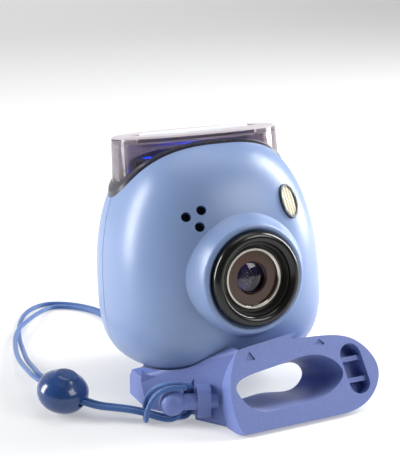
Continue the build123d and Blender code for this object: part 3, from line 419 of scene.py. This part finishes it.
route = [Vector(p) * mm for p in outer_strand] + [beside_hole(-1, 1), beside_hole(1, 1)]
route += [Vector(p) * mm for p in hitch] + [beside_hole(1, -1), beside_hole(-1, -1)]
route += [Vector(p) * mm for p in inner_strand]


def smooth_line(points, name, steps=8):
    """Points read from a NURBS spline with these control points."""
    curve = bpy.data.curves.new(name, "CURVE")
    curve.dimensions = "3D"
    curve.resolution_u = steps
    spline = curve.splines.new("NURBS")
    spline.points.add(len(points) - 1)
    for control, point in zip(spline.points, points):
        control.co = (*point, 1)
    spline.order_u = 3
    spline.use_endpoint_u = True
    holder = bpy.data.objects.new(name, curve)
    bpy.context.scene.collection.objects.link(holder)
    bpy.context.view_layer.update()
    mesh = bpy.data.meshes.new_from_object(holder)
    line = [v.co.copy() for v in mesh.vertices]
    bpy.data.objects.remove(holder)
    bpy.data.meshes.remove(mesh)
    bpy.data.curves.remove(curve)
    return line


coarse_line = smooth_line(route, "cord_line", 24)

# %% [markdown]
# A tube needs rings of points that don't twist from one to the next. Each ring takes the last ring's
# side direction and only leans it to stay square to the line. The braid's relief is worked out from
# the distance along the cord and the angle round it: two sets of helices, one each way.

# %% Cord tube
cord_radius = 0.5 * mm
braid_pitch = 2.4 * mm
braid_depth = 0.045 * mm
braid_gain = 2.2
cord_sides = 20
ring_step = 0.22 * mm


def even_points(line, step):
    """The same line with its points a fixed step apart."""
    spaced, left = [line[0]], step
    for a, b in zip(line, line[1:]):
        span = (b - a).length
        gone = 0.0
        while span - gone >= left:
            gone += left
            left = step
            spaced.append(a.lerp(b, gone / span))
        left -= span - gone
    return spaced


def braided_tube(line, name):
    """A closed tube along a line, with braid relief and a UV map of angle and length."""
    bm = bmesh.new()
    uv = bm.loops.layers.uv.new("braid")
    side = (line[1] - line[0]).orthogonal().normalized()
    rings = []
    for i, point in enumerate(line):
        way = (line[min(i + 1, len(line) - 1)] - line[max(i - 1, 0)]).normalized()
        side = (side - way * side.dot(way)).normalized()
        up = way.cross(side)
        turn = 2 * pi * i * ring_step / braid_pitch
        ring = []
        for k in range(cord_sides):
            angle = 2 * pi * k / cord_sides
            weave = max(abs(sin(2 * angle + turn)), abs(sin(2 * angle - turn)))
            reach = cord_radius - braid_depth * (1 - weave) * braid_gain
            ring.append(bm.verts.new(point + (side * cos(angle) + up * sin(angle)) * reach))
        rings.append(ring)
    for i, (near, far) in enumerate(zip(rings, rings[1:])):
        for k in range(cord_sides):
            after = (k + 1) % cord_sides
            face = bm.faces.new((near[k], near[after], far[after], far[k]))
            corners = ((k, i), (k + 1, i), (k + 1, i + 1), (k, i + 1))
            for loop, (across, along) in zip(face.loops, corners):
                loop[uv].uv = (across / cord_sides, along * ring_step / braid_pitch)
            face.smooth = True
    bm.faces.new(list(reversed(rings[0])))
    bm.faces.new(rings[-1])
    mesh = bpy.data.meshes.new(name)
    bm.to_mesh(mesh)
    bm.free()
    tube = bpy.data.objects.new(name, mesh)
    bpy.context.scene.collection.objects.link(tube)
    return tube


cord_points = even_points(coarse_line, ring_step)
cord_tube = braided_tube(cord_points, "strap_cord_braid")
print("cord rings:", len(cord_points), "faces:", len(cord_tube.data.polygons))

# %% [markdown]
# The yarns are polyester: mid blue, slightly glossy along their length, with painted shade where they
# dip under each other: the colour darkens in the weave's dips. The material reads the tube's own UV
# map, angle one way and length the other, so that the pattern follows the cord round every bend.
# Its colour shows twice as many yarns as the relief, which stays coarser.

# %% Cord material
def braided_polyester():
    """Crossing helices of yarn, with fine fibres along each, and painted shade where they dip under each
    other.
    """
    material, tree, shader = new_material("braided_polyester_blue", Roughness=0.5, Sheen_Weight=0.4)
    uv = add_node(tree, "ShaderNodeUVMap", uv_map="braid").outputs[0]
    parts = add_node(tree, "ShaderNodeSeparateXYZ", {0: uv})
    round_it = add_node(tree, "ShaderNodeMath", {0: parts.outputs[0], 1: 8 * pi},
                        operation="MULTIPLY").outputs[0]
    along = add_node(tree, "ShaderNodeMath", {0: parts.outputs[1], 1: 4 * pi},
                     operation="MULTIPLY").outputs[0]
    waves = []
    for operation in ("ADD", "SUBTRACT"):
        phase = add_node(tree, "ShaderNodeMath", {0: round_it, 1: along}, operation=operation).outputs[0]
        wave = add_node(tree, "ShaderNodeMath", {0: phase}, operation="SINE").outputs[0]
        waves.append(add_node(tree, "ShaderNodeMath", {0: wave}, operation="ABSOLUTE").outputs[0])
    weave = add_node(tree, "ShaderNodeMath", {0: waves[0], 1: waves[1]}, operation="MAXIMUM").outputs[0]
    fibres = add_node(tree, "ShaderNodeTexNoise", {"Vector": uv, "Scale": 40.0, "Detail": 2.0}).outputs[0]
    # Painted shade: the yarn colour darkens towards #14356E in the dips of the weave.
    tone = mix_colours(tree, remap(tree, weave, 0.6, 0.98), linear("#14356E"), linear("#3E70B6"))
    shade = mix_colours(tree, remap(tree, fibres, 0.3, 0.7, 0.0, 0.35), tone, linear("#24508A"))
    bump = add_node(tree, "ShaderNodeBump",
                    {"Height": weave, "Strength": 0.4, "Distance": 0.05 * mm}).outputs[0]
    tree.links.new(shade, shader.inputs["Base Color"])
    tree.links.new(bump, shader.inputs["Normal"])
    return material


finishes["cord_blue"] = braided_polyester()
cord_tube.data.materials.append(finishes["cord_blue"])
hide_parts("strap_cord")
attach(cord_tube, "stand")
sleeve = frame["nodes"]["cord_sleeve"].data.materials
sleeve.clear()
sleeve.append(moulded_plastic("crimped_sleeve_blue", "#2B5288", "#264A7D", 0.4, 0.3))

# %% [markdown]
# ## Rings inside the lens
# Behind the front glass sit the edges of the other lens elements and the stop: thin rings that catch
# the light one behind the other. They repeat by rule, each smaller and deeper than the last, so a
# Geometry Nodes tree makes them: one profile circle swept round a larger circle, for each instance.

# %% Geometry Nodes helpers
def group_input(tree, name, kind, value):
    """A named input on a node group, with its default."""
    socket = tree.interface.new_socket(name, in_out="INPUT", socket_type=kind)
    socket.default_value = value
    return socket


def run_tree(tree, name, values, material):
    """Run a tree on an empty mesh, and return its result as a plain mesh object."""
    holder = bpy.data.objects.new(name + "_tree", bpy.data.meshes.new(name + "_tree"))
    bpy.context.scene.collection.objects.link(holder)
    modifier = holder.modifiers.new("build", "NODES")
    modifier.node_group = tree
    sockets = {item.name: item.identifier for item in tree.interface.items_tree if item.in_out == "INPUT"}
    for label, value in values.items():
        modifier[sockets[label]] = value
    bpy.context.view_layer.update()
    evaluated = holder.evaluated_get(bpy.context.evaluated_depsgraph_get())
    mesh = bpy.data.meshes.new_from_object(evaluated)
    holder.modifiers.clear()
    bpy.data.objects.remove(holder)
    mesh.name = name
    if not mesh.materials:
        mesh.materials.append(material)
    result = bpy.data.objects.new(name, mesh)
    bpy.context.scene.collection.objects.link(result)
    return result


def lens_place():
    """The matrix from the lens's own frame, its Z out of the glass, to the object's frame."""
    side = Vector((1, 0, 0))
    out = -lens_way
    return Matrix.Translation(lens_centre) @ Matrix((side, out.cross(side), out)).transposed().to_4x4()


# %% Lens ring tree
def ring_stack_tree(material):
    """Rings that shrink and sink step by step, ending in realised meshes."""
    tree = bpy.data.node_groups.new("lens_ring_stack", "GeometryNodeTree")
    tree.interface.new_socket("Geometry", in_out="OUTPUT", socket_type="NodeSocketGeometry")
    group_input(tree, "Count", "NodeSocketInt", 4)
    group_input(tree, "Radius", "NodeSocketFloat", 2.2 * mm)
    group_input(tree, "Shrink", "NodeSocketFloat", 0.25)
    group_input(tree, "Sink", "NodeSocketFloat", 0.3 * mm)
    group_input(tree, "Wire", "NodeSocketFloat", 0.06 * mm)
    given = add_node(tree, "NodeGroupInput").outputs
    points = add_node(tree, "GeometryNodeMeshLine", {"Count": given["Count"]})
    index = add_node(tree, "GeometryNodeInputIndex").outputs[0]
    depth = add_node(tree, "ShaderNodeMath", {0: index, 1: given["Sink"]}, operation="MULTIPLY").outputs[0]
    down = add_node(tree, "ShaderNodeMath", {0: depth, 1: -1.0}, operation="MULTIPLY").outputs[0]
    place = add_node(tree, "ShaderNodeCombineXYZ", {"Z": down}).outputs[0]
    seats = add_node(tree, "GeometryNodeSetPosition",
                     {"Geometry": points.outputs[0], "Position": place}).outputs[0]
    loss = add_node(tree, "ShaderNodeMath", {0: index, 1: given["Shrink"]}, operation="MULTIPLY").outputs[0]
    size = add_node(tree, "ShaderNodeMath", {0: 1.0, 1: loss}, operation="SUBTRACT").outputs[0]
    hoop = add_node(tree, "GeometryNodeCurvePrimitiveCircle",
                    {"Resolution": 64, "Radius": given["Radius"]}).outputs[0]
    wire = add_node(tree, "GeometryNodeCurvePrimitiveCircle",
                    {"Resolution": 10, "Radius": given["Wire"]}).outputs[0]
    ring = add_node(tree, "GeometryNodeCurveToMesh", {"Curve": hoop, "Profile Curve": wire}).outputs[0]
    smooth = add_node(tree, "GeometryNodeSetShadeSmooth", {"Geometry": ring}).outputs[0]
    stack = add_node(tree, "GeometryNodeInstanceOnPoints",
                     {"Points": seats, "Instance": smooth, "Scale": size})
    real = add_node(tree, "GeometryNodeRealizeInstances", {"Geometry": stack.outputs[0]}).outputs[0]
    done = add_node(tree, "GeometryNodeSetMaterial", {"Geometry": real, "Material": material}).outputs[0]
    add_node(tree, "NodeGroupOutput", {"Geometry": done})
    return tree


ring_metal = turned_finish("blackened_brass_edges", "#8A86A8", "#5A5680", 0.25, 0.3, 0.05, Metallic=0.9)
lens_rings = run_tree(ring_stack_tree(ring_metal), "lens_element_edges",
                      {"Count": 3, "Radius": 1.95 * mm, "Shrink": 0.3, "Sink": 0.3 * mm, "Wire": 0.07 * mm},
                      ring_metal)
lens_rings.data.transform(lens_place() @ Matrix.Translation((0, 0, -1.35 * mm)))
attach(lens_rings, "camera")
print("lens rings faces:", len(lens_rings.data.polygons))

# %% [markdown]
# ## Floor, backdrop and lights
# The object stands on a seamless pale sweep under soft light: a broad source overhead, and a tall
# strip on each side, behind the object's shoulders, that draws the pale rims along its flanks.

# %% Stage and lights
def sweep_of_paper():
    """A seamless pale sheet: floor that curves up into a backdrop."""
    profile = [(-0.9, 0.0), (0.55, 0.0)]
    profile += [(0.55 + 0.25 * sin(radians(a)), 0.25 - 0.25 * cos(radians(a))) for a in range(10, 91, 10)]
    profile.append((0.8, 1.1))
    mesh = bpy.data.meshes.new("paper_sweep")
    corners = [(x, y, z) for y, z in profile for x in (-1.6, 1.6)]
    faces = [(2 * i, 2 * i + 1, 2 * i + 3, 2 * i + 2) for i in range(len(profile) - 1)]
    mesh.from_pydata(corners, [], faces)
    for face in mesh.polygons:
        face.use_smooth = True
    sweep = bpy.data.objects.new("paper_sweep", mesh)
    bpy.context.scene.collection.objects.link(sweep)
    paper, tree, shader = new_material("matt_paper_white", Roughness=0.9, Emission_Strength=0.33)
    shader.inputs["Base Color"].default_value = linear("#C4C4C4")
    shader.inputs["Emission Color"].default_value = linear("#FFFFFF")
    mesh.materials.append(paper)


def soft_light(name, place, aim, width, height, watts, colour="#FFFFFF"):
    """A rectangular softbox, aimed at a point."""
    light = bpy.data.lights.new(name, "AREA")
    light.shape = "RECTANGLE"
    light.size = width
    light.size_y = height
    light.energy = watts
    light.color = linear(colour)[:3]
    holder = bpy.data.objects.new(name, light)
    holder.location = place
    holder.rotation_euler = (Vector(aim) - Vector(place)).to_track_quat("-Z", "Y").to_euler()
    bpy.context.scene.collection.objects.link(holder)


sweep_of_paper()
middle = (cad_low + cad_high) / 2
soft_light("overhead", (0.05, 0.05, 0.55), middle, 0.4, 0.4, 0.9)
soft_light("left_strip", (-0.40, 0.20, 0.16), middle, 0.12, 0.4, 3.0)
soft_light("right_strip", (0.40, 0.02, 0.20), middle, 0.14, 0.4, 3.2)
soft_light("front_key", (0.30, -0.40, 0.36), middle, 0.25, 0.25, 1.2)
world = bpy.data.worlds.new("soft_room")
world.use_nodes = True
world.node_tree.nodes["Background"].inputs["Color"].default_value = linear("#E9ECF2")
world.node_tree.nodes["Background"].inputs["Strength"].default_value = 0.13
bpy.context.scene.world = world
